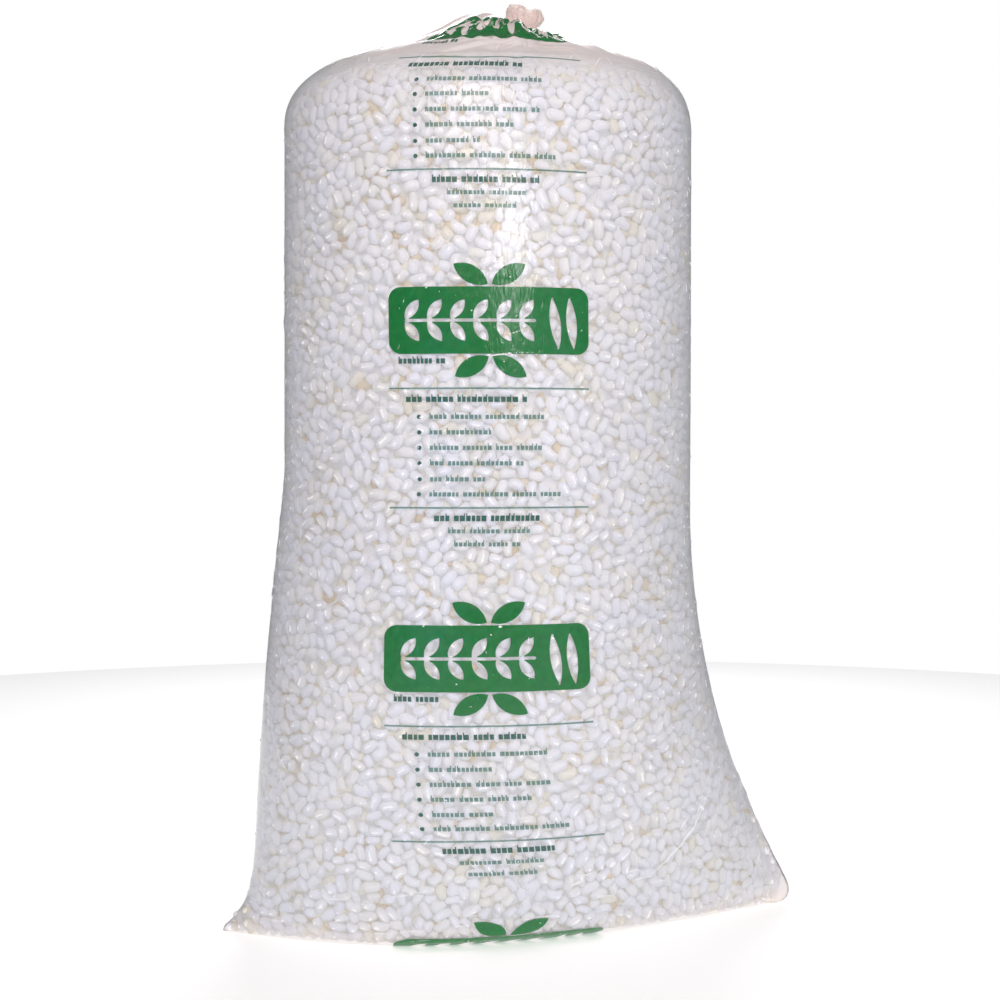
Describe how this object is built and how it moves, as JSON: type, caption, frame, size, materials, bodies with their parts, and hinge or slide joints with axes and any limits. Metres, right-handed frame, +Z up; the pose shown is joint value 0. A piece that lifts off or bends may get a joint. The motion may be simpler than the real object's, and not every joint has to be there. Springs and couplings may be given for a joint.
{
  "type": "packing peanut bag",
  "caption": "Tall clear film bag filled with loose packing peanuts, gathered and tied at the neck, standing on its flat weld.",
  "frame": {"origin": "on the floor under the middle of the bag's box", "axes": "+Z up along the bag's height, printed front facing -Y, weld along X"},
  "size_m": [0.9854, 0.54, 1.566],
  "materials": {
    "clear_film": "clear blown polyethylene film, printed in green",
    "starch_foam": "white puffed starch foam, matt",
    "tie_nylon": "moulded natural nylon"
  },
  "bodies": {
    "root": {"bag_film": "clear_film", "loose_fill": "starch_foam", "neck_tie": "tie_nylon"}
  },
  "joints": []
}
